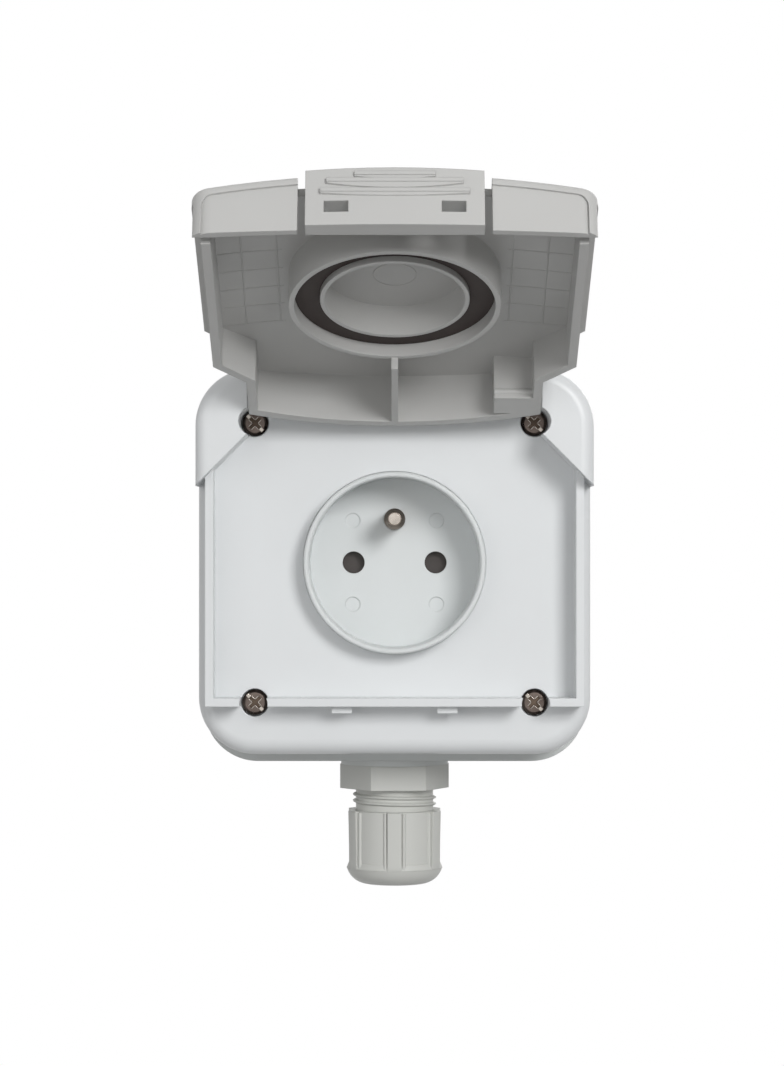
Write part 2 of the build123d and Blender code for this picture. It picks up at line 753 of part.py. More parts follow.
# Shutter: a bar over both pin holes, pushed up by its spring
with BuildPart() as shutter:
    with BuildSketch(at_depth(shutter_back)):
        with Locations((0, (shutter_top + shutter_bottom) / 2)):
            Rectangle(2 * shutter_half, shutter_top - shutter_bottom)
    extrude(amount=shutter_thickness)
    ramp_edges = shutter.edges().filter_by(Axis.X).group_by(Axis.Y)[0].sort_by(Axis.Z)[-1]
    chamfer(ramp_edges, length=shutter_ramp)
save(shutter.part, "shutter")

spring_depth = shutter_floor - spring_radius - spring_wire
spring_start = spring_bottom + spring_wire + spring_play
with BuildPart() as shutter_spring:
    with BuildLine():
        Helix(pitch=spring_length / (spring_turns + spring_end_turn), radius=spring_radius,
              height=spring_length - 2 * (spring_wire + spring_play),
              center=(0, -spring_depth, spring_start))
    with BuildSketch(Plane(origin=(spring_radius, -spring_depth, spring_start), z_dir=(0, 1, 0))):
        Circle(spring_wire)
    sweep(is_frenet=True)
save(shutter_spring.part, "shutter_spring")

for side, place in ((-1, "left"), (1, "right")):
    screw = make_screw(body_back + ear_sink, (side * ear_screw, 0), ear_screw_radius, ear_screw_head,
                       ear_screw_head_height, ear_screw_length, True)
    save(screw, f"mechanism_screw_{place}")

# Cable gland: body, rubber ring and domed nut on one axis below the box
gland_axis = Axis((0, -gland_depth, 0), (0, 0, 1))
gland_plane = Plane(origin=(0, -gland_depth, 0), x_dir=(1, 0, 0), z_dir=(0, -1, 0))
tube_end = nut_start - tube_in_nut
body_end = box_bottom + box_drop + box_wall + gland_inside
with BuildPart() as gland_body:
    with BuildSketch(Plane.XY.offset(tube_end)):
        with Locations((0, -gland_depth)):
            Circle(gland_root)
    extrude(amount=body_end - tube_end)
    with BuildSketch(Plane.XY.offset(boss_bottom)):
        with Locations((0, -gland_depth)):
            Circle(gland_thread)
    extrude(amount=body_end - boss_bottom)
    with BuildSketch(Plane.XY.offset(hex_bottom)):
        with Locations((0, -gland_depth)):
            RegularPolygon(hex_across / 2, 6, major_radius=False, rotation=hex_turn)
    extrude(amount=hex_height)
    with BuildSketch(Plane.XY.offset(tube_end)):
        with Locations((0, -gland_depth)):
            Circle(tube_bore)
    extrude(amount=body_end - tube_end, mode=Mode.SUBTRACT)
    with BuildSketch(Plane.XY.offset(tube_end)):
        with Locations((0, -gland_depth)):
            Circle(tube_end_bore)
    extrude(amount=tube_in_nut, mode=Mode.SUBTRACT)
save(gland_body.part, "gland_body")

seal_bottom = nut_end + nut_floor + gland_thread_clearance
nut_bore = gland_root + gland_thread_clearance
with BuildPart() as gland_seal:
    with BuildSketch(Plane.XY.offset(seal_bottom)):
        with Locations((0, -gland_depth)):
            Circle(tube_end_bore - gland_seal_gap)
            Circle(gland_seal_bore, mode=Mode.SUBTRACT)
    extrude(amount=nut_start - gland_seal_drop - seal_bottom)
save(gland_seal.part, "gland_seal")

with BuildPart() as gland_nut:
    with BuildSketch(gland_plane):
        with BuildLine():
            Polyline((tube_bore, nut_end), (nut_low, nut_end), (nut_top, nut_start),
                     (nut_bore, nut_start), (nut_bore, nut_end + nut_floor),
                     (tube_bore, nut_end + nut_floor), close=True)
        make_face()
        fillet(vertices().sort_by(Axis.X)[-2], radius=nut_edge)
    revolve(axis=gland_axis)
    with BuildSketch(Plane.XY.offset(nut_end + nut_edge * nut_flat_share)):
        with Locations((0, -gland_depth)):
            Circle(nut_top + overrun)
            Circle(nut_low - nut_flat_sink, mode=Mode.SUBTRACT)
            with PolarLocations(nut_low - overrun, nut_ribs, start_angle=-90):
                Rectangle(nut_rib_length, 2 * nut_rib_half, mode=Mode.SUBTRACT)
    extrude(amount=nut_height, mode=Mode.SUBTRACT)
save(gland_nut.part, "gland_nut")
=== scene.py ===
"""Finish and studio for a wall-mounted socket with its lid open."""

import json
import logging
import math
from collections.abc import Sequence
from dataclasses import dataclass, field
from enum import Enum

import bmesh
import bpy
from mathutils import Matrix, Vector

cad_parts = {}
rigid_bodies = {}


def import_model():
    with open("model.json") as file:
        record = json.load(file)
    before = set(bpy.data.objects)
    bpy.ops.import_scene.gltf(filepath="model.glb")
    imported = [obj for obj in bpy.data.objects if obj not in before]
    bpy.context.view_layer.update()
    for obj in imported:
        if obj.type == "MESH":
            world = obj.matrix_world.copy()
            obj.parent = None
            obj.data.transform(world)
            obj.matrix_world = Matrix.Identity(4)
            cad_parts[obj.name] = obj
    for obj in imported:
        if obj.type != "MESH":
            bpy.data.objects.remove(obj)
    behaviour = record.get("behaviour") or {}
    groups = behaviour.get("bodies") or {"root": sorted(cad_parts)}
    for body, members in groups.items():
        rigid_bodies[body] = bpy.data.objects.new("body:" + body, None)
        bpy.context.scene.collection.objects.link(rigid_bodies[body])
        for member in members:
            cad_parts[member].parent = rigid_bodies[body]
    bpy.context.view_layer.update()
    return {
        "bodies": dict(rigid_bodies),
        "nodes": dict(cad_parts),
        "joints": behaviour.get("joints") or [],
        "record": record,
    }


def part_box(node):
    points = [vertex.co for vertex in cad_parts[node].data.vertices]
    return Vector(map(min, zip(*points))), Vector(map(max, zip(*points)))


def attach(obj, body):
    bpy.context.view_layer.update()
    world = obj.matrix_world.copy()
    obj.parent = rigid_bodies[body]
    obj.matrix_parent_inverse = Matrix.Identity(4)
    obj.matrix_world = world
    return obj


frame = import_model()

LOG = logging.getLogger("socket")
Colour = tuple[float, float, float]
Point = tuple[float, float, float]
Ring = list[Point]
Face = tuple[int, ...]
GRAIN_DETAIL = 2.0
GRAIN_HEIGHT = 0.0001
EDGE_SAMPLES = 6
SHARP_ANGLE = 35.0


class Texture(Enum):
    """How a mould marks a piece: the grain's cells to the metre and its strength."""

    SPARK = (5200.0, 0.10)
    MATT = (3200.0, 0.22)


@dataclass(frozen=True)
class MouldedPlastic:
    """Injection moulded plastic with a fine grain and a faint flow mottling."""

    name: str
    colour: Colour
    roughness: float = 0.38
    texture: Texture = Texture.SPARK
    mottle: float = 0.03
    mottle_scale: float = 38.0
    mottle_detail: float = 4.0
    gloss_spread: tuple[float, float] = (-0.05, 0.06)
    ior: float = 1.49
    edge: float = 0.00035

    def build(self) -> bpy.types.Material:
        """Make the material.

        Returns:
            The node material, ready for a slot.
        """
        material, tree, shader = new_material(self.name)
        spots = add_noise(tree, self.mottle_scale, self.mottle_detail)
        add_shade(tree, shader, spots, [c * (1 - self.mottle) for c in self.colour],
                  [min(1, c * (1 + self.mottle)) for c in self.colour])
        add_gloss(tree, shader, spots, self.roughness, self.gloss_spread)
        shader.inputs["IOR"].default_value = self.ior
        add_relief(tree, shader, *self.texture.value, self.edge)
        return material


@dataclass(frozen=True)
class Rubber:
    """Matt rubber with a coarse skin and a little bloom."""

    name: str
    colour: Colour
    bloom: Colour
    bloom_scale: float = 210.0
    bloom_detail: float = 6.0
    roughness: float = 0.72
    grain: tuple[float, float] = (2400.0, 0.35)
    edge: float = 0.0002

    def build(self) -> bpy.types.Material:
        """Make the material.

        Returns:
            The node material, ready for a slot.
        """
        material, tree, shader = new_material(self.name)
        clouds = add_noise(tree, self.bloom_scale, self.bloom_detail)
        add_shade(tree, shader, clouds, self.colour, self.bloom)
        shader.inputs["Roughness"].default_value = self.roughness
        add_relief(tree, shader, *self.grain, self.edge)
        return material


@dataclass(frozen=True)
class PlatedMetal:
    """Plated or rolled metal with fine tool lines and uneven gloss."""

    name: str
    colour: Colour
    shadow: Colour
    roughness: float = 0.28
    stain_scale: float = 420.0
    stain_detail: float = 5.0
    gloss_spread: tuple[float, float] = (-0.08, 0.12)
    grain: tuple[float, float] = (1400.0, 0.15)
    edge: float = 0.00015

    def build(self) -> bpy.types.Material:
        """Make the material.

        Returns:
            The node material, ready for a slot.
        """
        material, tree, shader = new_material(self.name)
        stain = add_noise(tree, self.stain_scale, self.stain_detail)
        add_shade(tree, shader, stain, self.shadow, self.colour)
        add_gloss(tree, shader, stain, self.roughness, self.gloss_spread)
        shader.inputs["Metallic"].default_value = 1.0
        add_relief(tree, shader, *self.grain, self.edge)
        return material


Finish = MouldedPlastic | Rubber | PlatedMetal


def material_of(finish: Finish) -> bpy.types.Material:
    """Find a finish's material, or make it.

    Args:
        finish: The finish, whose name differs from the record's material slots.

    Returns:
        The node material.
    """
    return bpy.data.materials.get(finish.name) or finish.build()


def new_material(name: str) -> tuple[bpy.types.Material, bpy.types.NodeTree, bpy.types.Node]:
    """Start a node material.

    Args:
        name: The material's name.

    Returns:
        The material, its node tree and its main shader.
    """
    material = bpy.data.materials.new(name)
    material.use_nodes = True
    return material, material.node_tree, material.node_tree.nodes["Principled BSDF"]


def add_noise(tree: bpy.types.NodeTree, scale: float, detail: float) -> bpy.types.Node:
    """Add a noise texture in the object's own metres.

    Args:
        tree: The node tree.
        scale: Cells to the metre.
        detail: Octaves.

    Returns:
        The noise node.
    """
    place = tree.nodes.new("ShaderNodeTexCoord")
    noise = tree.nodes.new("ShaderNodeTexNoise")
    noise.inputs["Scale"].default_value = scale
    noise.inputs["Detail"].default_value = detail
    tree.links.new(place.outputs["Object"], noise.inputs["Vector"])
    return noise


def add_range(tree: bpy.types.NodeTree, source: bpy.types.NodeSocket, low: float,
              high: float) -> bpy.types.NodeSocket:
    """Spread a 0 to 1 value over a range.

    Args:
        tree: The node tree.
        source: The value.
        low: The result at 0.
        high: The result at 1.

    Returns:
        The socket with the result.
    """
    spread = tree.nodes.new("ShaderNodeMapRange")
    spread.inputs["To Min"].default_value = low
    spread.inputs["To Max"].default_value = high
    tree.links.new(source, spread.inputs["Value"])
    return spread.outputs["Result"]


def add_shade(tree: bpy.types.NodeTree, shader: bpy.types.Node, noise: bpy.types.Node,
              low: Sequence[float], high: Sequence[float]) -> None:
    """Let a shader's colour drift between two tones.

    Args:
        tree: The node tree.
        shader: The main shader.
        noise: The noise that mixes the tones.
        low: The tone at 0.
        high: The tone at 1.
    """
    shade = tree.nodes.new("ShaderNodeMix")
    shade.data_type = "RGBA"
    shade.inputs["A"].default_value = (*low, 1)
    shade.inputs["B"].default_value = (*high, 1)
    tree.links.new(noise.outputs["Fac"], shade.inputs["Factor"])
    tree.links.new(shade.outputs["Result"], shader.inputs["Base Color"])


def add_gloss(tree: bpy.types.NodeTree, shader: bpy.types.Node, noise: bpy.types.Node,
              roughness: float, spread: tuple[float, float]) -> None:
    """Let a shader's roughness drift round its middle value.

    Args:
        tree: The node tree.
        shader: The main shader.
        noise: The noise that it follows.
        roughness: The middle value.
        spread: What is added to it at 0 and at 1.
    """
    gloss = add_range(tree, noise.outputs["Fac"], roughness + spread[0], roughness + spread[1])
    tree.links.new(gloss, shader.inputs["Roughness"])


def add_white_rays(tree: bpy.types.NodeTree) -> bpy.types.NodeSocket:
    """Tell the rays that see a white background from those that light the object.

    Args:
        tree: The node tree.

    Returns:
        The socket that is 1 for camera, glossy and transmission rays.
    """
    path = tree.nodes.new("ShaderNodeLightPath")
    seen = path.outputs["Is Camera Ray"]
    for ray in ("Is Glossy Ray", "Is Transmission Ray"):
        either = tree.nodes.new("ShaderNodeMath")
        either.operation = "MAXIMUM"
        tree.links.new(seen, either.inputs[0])
        tree.links.new(path.outputs[ray], either.inputs[1])
        seen = either.outputs["Value"]
    return seen


def add_relief(tree: bpy.types.NodeTree, shader: bpy.types.Node, scale: float, strength: float,
               edge: float) -> None:
    """Add fine grain and softened edges to a shader's normal.

    Args:
        tree: The node tree.
        shader: The main shader.
        scale: Grain cells to the metre.
        strength: Bump strength.
        edge: Radius of the softened edges, in metres.
    """
    grain = add_noise(tree, scale, GRAIN_DETAIL)
    bump = tree.nodes.new("ShaderNodeBump")
    bump.inputs["Strength"].default_value = strength
    bump.inputs["Distance"].default_value = GRAIN_HEIGHT
    soft = tree.nodes.new("ShaderNodeBevel")
    soft.samples = EDGE_SAMPLES
    soft.inputs["Radius"].default_value = edge
    tree.links.new(grain.outputs["Fac"], bump.inputs["Height"])
    tree.links.new(soft.outputs["Normal"], bump.inputs["Normal"])
    tree.links.new(bump.outputs["Normal"], shader.inputs["Normal"])


def turn_angles(count: int) -> list[float]:
    """The angles of points that stand evenly round a circle."""
    return [2 * math.pi * k / count for k in range(count)]


def join(rings: list[Ring]) -> list[Point]:
    """All corners of the rings in one list."""
    return [point for ring in rings for point in ring]


def make_mesh(name: str, points: list[Point], faces: list[Face],
              material: bpy.types.Material, body: str) -> bpy.types.Object:
    """Make a smooth mesh piece that rides on a body.

    Args:
        name: The piece's name.
        points: Corners in metres, in the row frame.
        faces: Corner numbers of each face.
        material: Its finish.
        body: The body that it rides on.

    Returns:
        The piece.
    """
    mesh = bpy.data.meshes.new(name)
    mesh.from_pydata(points, [], faces)
    skin = bmesh.new()
    skin.from_mesh(mesh)
    bmesh.ops.recalc_face_normals(skin, faces=skin.faces)
    skin.to_mesh(mesh)
    skin.free()
    mesh.polygons.foreach_set("use_smooth", [True] * len(mesh.polygons))
    mesh.set_sharp_from_angle(angle=math.radians(SHARP_ANGLE))
    piece = bpy.data.objects.new(name, mesh)
    bpy.context.scene.collection.objects.link(piece)
    piece.data.materials.append(material)
    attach(piece, body)
    LOG.info("%s: %d faces on %s", name, len(faces), body)
    return piece


def loft_rings(rings: list[Ring], closed_ends: bool) -> list[Face]:
    """Faces of a skin over rings of equal length.

    Args:
        rings: The rings, each a closed loop.
        closed_ends: True to cap the first and the last ring, False to join them.

    Returns:
        The faces, as corner numbers.
    """
    sides = len(rings[0])
    last = len(rings) - 1 if closed_ends else len(rings)
    faces = []
    for ring in range(last):
        near, far = ring * sides, ((ring + 1) % len(rings)) * sides
        for k in range(sides):
            j = (k + 1) % sides
            faces.append((near + k, near + j, far + j, far + k))
    if closed_ends:
        faces.append(tuple(reversed(range(sides))))
        faces.append(tuple(range(last * sides, last * sides + sides)))
    return faces


def add_bar(points: list[Point], faces: list[Face], rings: list[Ring]) -> None:
    """Add a closed bar to a growing mesh.

    Args:
        points: The mesh's corners so far.
        faces: The mesh's faces so far.
        rings: The bar's sections from end to end.
    """
    start = len(points)
    points.extend(join(rings))
    faces.extend(tuple(start + corner for corner in face) for face in loft_rings(rings, True))


@dataclass
class CoverAssembly:
    """The pale front cover, the well and the wall box."""

    cover: MouldedPlastic = MouldedPlastic("cover_moulding", (0.765, 0.782, 0.790), 0.36)
    # The well's plastic is darker and greener than the cover's: painted shade of the recess.
    well: MouldedPlastic = MouldedPlastic("well_plastic", (0.735, 0.760, 0.760), 0.34)
    box: MouldedPlastic = MouldedPlastic("box_moulding", (0.64, 0.66, 0.65), 0.42)
    seal: Rubber = Rubber("seal_rubber", (0.10, 0.10, 0.10), (0.14, 0.14, 0.14))

    def dress(self, frame: dict) -> None:
        """Give the cover, the well, the box and their seal their finishes.
        """
        paint(frame, {"front_cover": self.cover, "socket_cup": self.well, "back_box": self.box,
                      "box_gasket": self.seal})


@dataclass
class LidAssembly:
    """The hinged lid with its collar and rubber ring."""

    shell: MouldedPlastic = MouldedPlastic("lid_moulding", (0.528, 0.526, 0.514), 0.40,
                                           Texture.SPARK, 0.035)
    ring: Rubber = Rubber("collar_rubber", (0.022, 0.015, 0.013), (0.038, 0.027, 0.024))
    hinge: Point = (0.0, -0.0555, 0.042)
    open_angle: float = 116.0
    gate_radius: float = 0.0046
    gate_wire: float = 0.00016
    gate_depth: float = 0.0028
    gate_offset: float = -0.0405
    gate_steps: int = 64
    gate_sides: int = 8
    crown: float = 0.300
    skin: float = 0.0028
    grips: tuple[tuple[float, float, float], ...] = (
        (-0.0013, 0.0153, 0.0006), (0.0011, 0.0140, 0.0011), (0.0027, 0.0083, 0.0006))
    grip_face: float = -0.08040
    grip_root: float = -0.0790
    grip_lip: float = 0.0003
    grip_steps: int = 24
    line_start: float = 0.0240
    line_end: float = 0.0376
    line_pitch: float = 0.0075
    line_rows: tuple[int, ...] = (3, 4, 5, 6, 7, 8)
    line_columns: tuple[float, ...] = (0.0250, 0.0325)
    line_width: float = 0.00035
    line_height: float = 0.00004
    line_steps: int = 8
    stop_ends: tuple[float, float] = (0.0222, 0.0318)
    stop_along: float = -0.0062
    stop_out: float = -0.0072
    stop_radius: float = 0.0008
    stop_sides: int = 20

    def place(self, across: float, along: float, out: float) -> Point:
        """Find a point of the open lid from its place on the shut lid.

        Args:
            across: Distance to the right of the lid's middle.
            along: Height over the hinge.
            out: Distance from the hinge out of the cover.

        Returns:
            The point in the row frame.
        """
        turn = math.radians(self.open_angle)
        y = self.hinge[1] + along * math.sin(turn) - out * math.cos(turn)
        z = self.hinge[2] + along * math.cos(turn) + out * math.sin(turn)
        return (across, y, z)

    def add_piece(self, name: str, points: list[Point], faces: list[Face]) -> bpy.types.Object:
        """Make a piece of the lid's own plastic that rides on the lid."""
        return make_mesh(name, points, faces, material_of(self.shell), "lid")

    def dress(self, frame: dict) -> None:
        """Give the lid and its ring their finishes.
        """
        paint(frame, {"lid": self.shell, "lid_gasket": self.ring})

    def grip_crescents(self) -> list[bpy.types.Object]:
        """The bowed grips that hang below the straight bars on the tongue.

        Returns:
            One piece for each bar.
        """
        pieces = []
        for number, (level, half, sag) in enumerate(self.grips, 1):
            rings = []
            for step in range(self.grip_steps + 1):
                share = -1 + 2 * step / self.grip_steps
                across = half * share
                low = level - self.grip_lip - sag * (1 - share * share)
                rings.append([self.place(across, self.grip_face, level),
                              self.place(across, self.grip_face, low),
                              self.place(across, self.grip_root, low - self.grip_lip),
                              self.place(across, self.grip_root, level)])
            pieces.append(self.add_piece(f"tongue_grip_{number}", join(rings),
                                         loft_rings(rings, True)))
        return pieces

    def inner_skin(self, across: float) -> float:
        """Height of the lid's inner surface at a distance from its middle."""
        return self.skin - self.crown + math.sqrt(self.crown ** 2 - across ** 2)

    def line_section(self, across: float, along: float, lean: tuple[float, float]) -> Ring:
        """Make one section of a mould line, its back sunk into the lid.

        Args:
            across: Distance to the right of the lid's middle.
            along: Height over the hinge.
            lean: Half the line's width, across and along.

        Returns:
            Its four corners.
        """
        skin = self.inner_skin(across)
        back, front = skin + self.line_width / 2, skin - self.line_height
        return [self.place(across + side * lean[0], along + side * lean[1], level)
                for side, level in ((-1, back), (-1, front), (1, front), (1, back))]

    def mould_lines(self) -> bpy.types.Object:
        """The faint squares that the mould's inserts leave beside the collar.

        Returns:
            All lines as one piece.
        """
        points, faces = [], []
        half = self.line_width / 2
        ends = (-self.line_rows[0] * self.line_pitch, -self.line_rows[-1] * self.line_pitch)
        for side in (-1, 1):
            for row in self.line_rows:
                rings = []
                for step in range(self.line_steps + 1):
                    reach = (self.line_end - self.line_start) * step / self.line_steps
                    rings.append(self.line_section(side * (self.line_start + reach),
                                                   -row * self.line_pitch, (0.0, half)))
                add_bar(points, faces, rings)
            for column in self.line_columns:
                add_bar(points, faces, [self.line_section(side * column, along, (half, 0.0))
                                        for along in ends])
        return self.add_piece("lid_mould_lines", points, faces)

    def stop_bead(self) -> bpy.types.Object:
        """The rounded bead along the edge of the stop beside the right hinge.

        Returns:
            The bead.
        """
        rings = [[self.place(across, self.stop_along + self.stop_radius * math.cos(angle),
                             self.stop_out + self.stop_radius * math.sin(angle))
                  for angle in turn_angles(self.stop_sides)] for across in self.stop_ends]
        return self.add_piece("lid_stop_bead", join(rings), loft_rings(rings, True))

    def gate_mark(self) -> bpy.types.Object:
        """The thin circle that the mould's gate leaves inside the collar.

        Returns:
            The circle as one closed piece.
        """
        rings = []
        for angle in turn_angles(self.gate_steps):
            ring = []
            for tilt in turn_angles(self.gate_sides):
                reach = self.gate_radius + self.gate_wire * math.cos(tilt)
                ring.append(self.place(reach * math.cos(angle),
                                       self.gate_offset + reach * math.sin(angle),
                                       self.gate_depth + self.gate_wire * math.sin(tilt)))
            rings.append(ring)
        return self.add_piece("lid_gate_mark", join(rings), loft_rings(rings, False))


@dataclass
class GlandAssembly:
    """The cable gland: body, nut, seal and the visible turns of its thread."""

    shell: MouldedPlastic = MouldedPlastic("gland_moulding", (0.605, 0.610, 0.580), 0.45,
                                           Texture.SPARK, 0.03)
    seal: Rubber = Rubber("gland_rubber", (0.035, 0.035, 0.035), (0.06, 0.06, 0.06))
    depth: float = 0.015
    root: float = 0.0092
    root_sink: float = 0.0002
    crest: float = 0.0099
    pitch: float = 0.0015
    flank_share: float = 0.42
    tip_share: float = 0.10
    top: float = -0.0538
    bottom: float = -0.0590
    steps: int = 72
    fade_steps: int = 12
    least_fade: float = 0.02
    ribs: int = 6
    first_rib: float = -90.0
    bead_offset: float = 0.0022
    bead_radius: float = 0.00045
    bead_circle: float = 0.01086
    bead_sides: int = 14
    grip_bottom: float = -0.07275
    grip_top: float = -0.0592
    slope_height: float = 0.0014
    slope_outer: float = 0.01142
    slope_inner: float = 0.01086
    slope_wall: float = 0.0004
    slope_lap: float = 0.00002
    slope_steps: int = 96

    def add_piece(self, name: str, points: list[Point], faces: list[Face]) -> bpy.types.Object:
        """Make a piece of the gland's own plastic that rides on the housing."""
        return make_mesh(name, points, faces, material_of(self.shell), "housing")

    def dress(self, frame: dict) -> None:
        """Give the gland's pieces their finishes.
        """
        paint(frame, {"gland_body": self.shell, "gland_nut": self.shell,
                      "gland_seal": self.seal})

    def turn_section(self, section: list[tuple[float, float]], angle: float) -> Ring:
        """Stand a section of radii and heights at an angle round the gland's axis."""
        return [(radius * math.cos(angle), -self.depth + radius * math.sin(angle), height)
                for radius, height in section]

    def thread(self) -> bpy.types.Object:
        """The turns of the thread that show between the hexagon and the nut.

        Returns:
            The thread as one closed piece.
        """
        count = int((self.top - self.bottom - self.pitch) / self.pitch * self.steps)
        flank = self.pitch * self.flank_share
        tip = self.pitch * self.tip_share
        inner = self.root - self.root_sink
        rings = []
        for step in range(count + 1):
            rise = self.top - self.pitch / 2 - self.pitch * step / self.steps
            fade = min(1.0, step / self.fade_steps, (count - step) / self.fade_steps)
            crest = self.root + (self.crest - self.root) * max(fade, self.least_fade)
            section = [(inner, rise - flank), (crest, rise - tip), (crest, rise + tip),
                       (inner, rise + flank)]
            rings.append(self.turn_section(section, 2 * math.pi * step / self.steps))
        return self.add_piece("gland_thread", join(rings), loft_rings(rings, True))

    def nut_beads(self) -> bpy.types.Object:
        """The narrow beads on both sides of each grip rib of the nut.

        Returns:
            All beads as one piece.
        """
        points, faces = [], []
        for rib in range(self.ribs):
            angle = math.radians(self.first_rib + 360 / self.ribs * rib)
            for side in (-1, 1):
                shift = side * self.bead_offset
                x = self.bead_circle * math.cos(angle) - shift * math.sin(angle)
                y = self.bead_circle * math.sin(angle) + shift * math.cos(angle)
                draw = self.bead_circle / math.hypot(x, y)
                rings = [[(x * draw + self.bead_radius * math.cos(tilt),
                           y * draw - self.depth + self.bead_radius * math.sin(tilt), level)
                          for tilt in turn_angles(self.bead_sides)]
                         for level in (self.grip_bottom, self.grip_top)]
                add_bar(points, faces, rings)
        return self.add_piece("gland_nut_beads", points, faces)

    def nut_slope(self) -> bpy.types.Object:
        """The slope on which the nut's flats run out into its dome.

        Returns:
            A ring round the nut.
        """
        low = self.grip_bottom - self.slope_lap
        high = self.grip_bottom + self.slope_height
        back = self.slope_inner - self.slope_wall
        section = [(self.slope_outer, low), (self.slope_inner, high), (back, high), (back, low)]
        rings = [self.turn_section(section, angle) for angle in turn_angles(self.slope_steps)]
        return self.add_piece("gland_nut_slope", join(rings), loft_rings(rings, False))


@dataclass
class Mechanism:
    """Screws, pins, contacts, terminals and the block that carries them."""

    screw: PlatedMetal = PlatedMetal("screw_steel", (0.19, 0.155, 0.135),
                                     (0.075, 0.057, 0.050), 0.28)
    steel: PlatedMetal = PlatedMetal("pin_steel", (0.56, 0.55, 0.53), (0.34, 0.33, 0.32), 0.25)
    # Nickel tinted dark for the earth pin: a painted reflection of the dark surround in its
    # chamfer.
    nickel: PlatedMetal = PlatedMetal("nickel_plate", (0.31, 0.26, 0.22), (0.15, 0.12, 0.10), 0.18)
    brass: PlatedMetal = PlatedMetal("rolled_brass", (0.78, 0.60, 0.32), (0.52, 0.38, 0.18), 0.30)
    block: MouldedPlastic = MouldedPlastic("block_plastic", (0.045, 0.036, 0.032), 0.50,
                                           Texture.MATT)
    # Pale steel for the screws' glints and the pin's end: painted highlights, with some wear on
    # the screws.
    wear_and_glint: PlatedMetal = PlatedMetal("worn_and_glint_steel", (0.66, 0.61, 0.55), (0.36, 0.32, 0.28), 0.20)
    # Darker steel for the recess floors: painted shade in the cross recess.
    hollow: PlatedMetal = PlatedMetal("recess_steel", (0.15, 0.112, 0.085),
                                      (0.05, 0.038, 0.030), 0.42)
    places: tuple[str, ...] = ("top_left", "top_right", "bottom_left", "bottom_right")
    head_top: float = -0.0452
    recess_floor: float = -0.04472
    arms: tuple[float, ...] = (45, 135, 225, 315)
    arm: float = 0.0016
    arm_half: float = 0.0004
    arm_fit: float = 0.98
    slot_arms: tuple[float, ...] = (135, 315)
    slot_span: tuple[float, float] = (0.00165, 0.00255)
    edge_start: float = 0.0006
    edge_offset: float = 0.00048
    edge_half: float = 0.00008
    glint: float = 0.00004
    pin_centre: Point = (0.0, -0.0510, 0.010)
    pin_tip: float = 0.00135
    pin_rise: float = 0.00003
    pin_sides: int = 32
    poles: tuple[str, ...] = ("live", "neutral", "earth")

    def dress(self, frame: dict) -> None:
        """Give the screws and all inner pieces their finishes.
        """
        finishes = {f"cover_screw_{place}": self.screw for place in self.places}
        finishes |= {f"{pole}_terminal": self.brass for pole in self.poles}
        finishes |= {f"{pole}_terminal_screw": self.steel for pole in self.poles}
        for side in ("left", "right"):
            finishes[f"hinge_pin_{side}"] = self.steel
            finishes[f"mechanism_screw_{side}"] = self.steel
        finishes |= {"live_contact": self.brass, "neutral_contact": self.brass,
                     "earth_strap": self.brass, "earth_pin": self.nickel,
                     "shutter_spring": self.steel, "mechanism_body": self.block,
                     "shutter": self.block}
        paint(frame, finishes)

    def plate(self, points: list[Point], faces: list[Face], centre: Point, turn: float,
              span: tuple[float, float], half: float, front: float) -> None:
        """Add a thin bar on a screw's face, out from its middle.

        Args:
            points: The mesh's corners so far.
            faces: The mesh's faces so far.
            centre: The screw's middle.
            turn: Direction of the bar, in degrees from the right.
            span: Where the bar starts and ends, from the middle.
            half: Half its width.
            front: Y of its front face.
        """
        angle = math.radians(turn)
        thick = self.glint * 2
        rings = []
        for reach in span:
            ring = []
            for lean, back in ((-half, 0.0), (half, 0.0), (half, thick), (-half, thick)):
                ring.append((centre[0] + reach * math.cos(angle) - lean * math.sin(angle),
                             front + back,
                             centre[2] + reach * math.sin(angle) + lean * math.cos(angle)))
            rings.append(ring)
        add_bar(points, faces, rings)

    def screw_drives(self) -> list[bpy.types.Object]:
        """Recess floors darkened as painted shade, and glints on the cross as painted highlights
        and wear.

        Returns:
            Two pieces for each screw.
        """
        pieces = []
        floor_half = self.arm_half * self.arm_fit
        floor_bars = ((self.arms[0], -self.arm), (self.arms[1], floor_half),
                      (self.arms[3], floor_half))
        front = self.head_top - self.glint
        for place in self.places:
            low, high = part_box(f"cover_screw_{place}")
            centre = ((low[0] + high[0]) / 2, self.head_top, (low[2] + high[2]) / 2)
            points, faces = [], []
            # Recess floor plates in the darker steel: painted shade.
            for turn, start in floor_bars:
                self.plate(points, faces, centre, turn, (start, self.arm), floor_half,
                           self.recess_floor)
            pieces.append(make_mesh(f"screw_recess_{place}", points, faces,
                                    material_of(self.hollow), "housing"))
            points, faces = [], []
            # Glint plates on the slot and the cross's edges: painted highlights, partly wear.
            for turn in self.slot_arms:
                self.plate(points, faces, centre, turn, self.slot_span, self.arm_half, front)
            for turn in self.arms:
                for side in (-1, 1):
                    shift = side * self.edge_offset
                    corner = (centre[0] + shift * math.sin(math.radians(turn)), centre[1],
                              centre[2] - shift * math.cos(math.radians(turn)))
                    self.plate(points, faces, corner, turn, (self.edge_start, self.arm),
                               self.edge_half, front)
            pieces.append(make_mesh(f"screw_glint_{place}", points, faces,
                                    material_of(self.wear_and_glint), "housing"))
        return pieces

    def pin_end(self) -> bpy.types.Object:
        """The flat end of the earth pin, made pale as a painted highlight.

        Returns:
            A thin disc on the pin's end.
        """
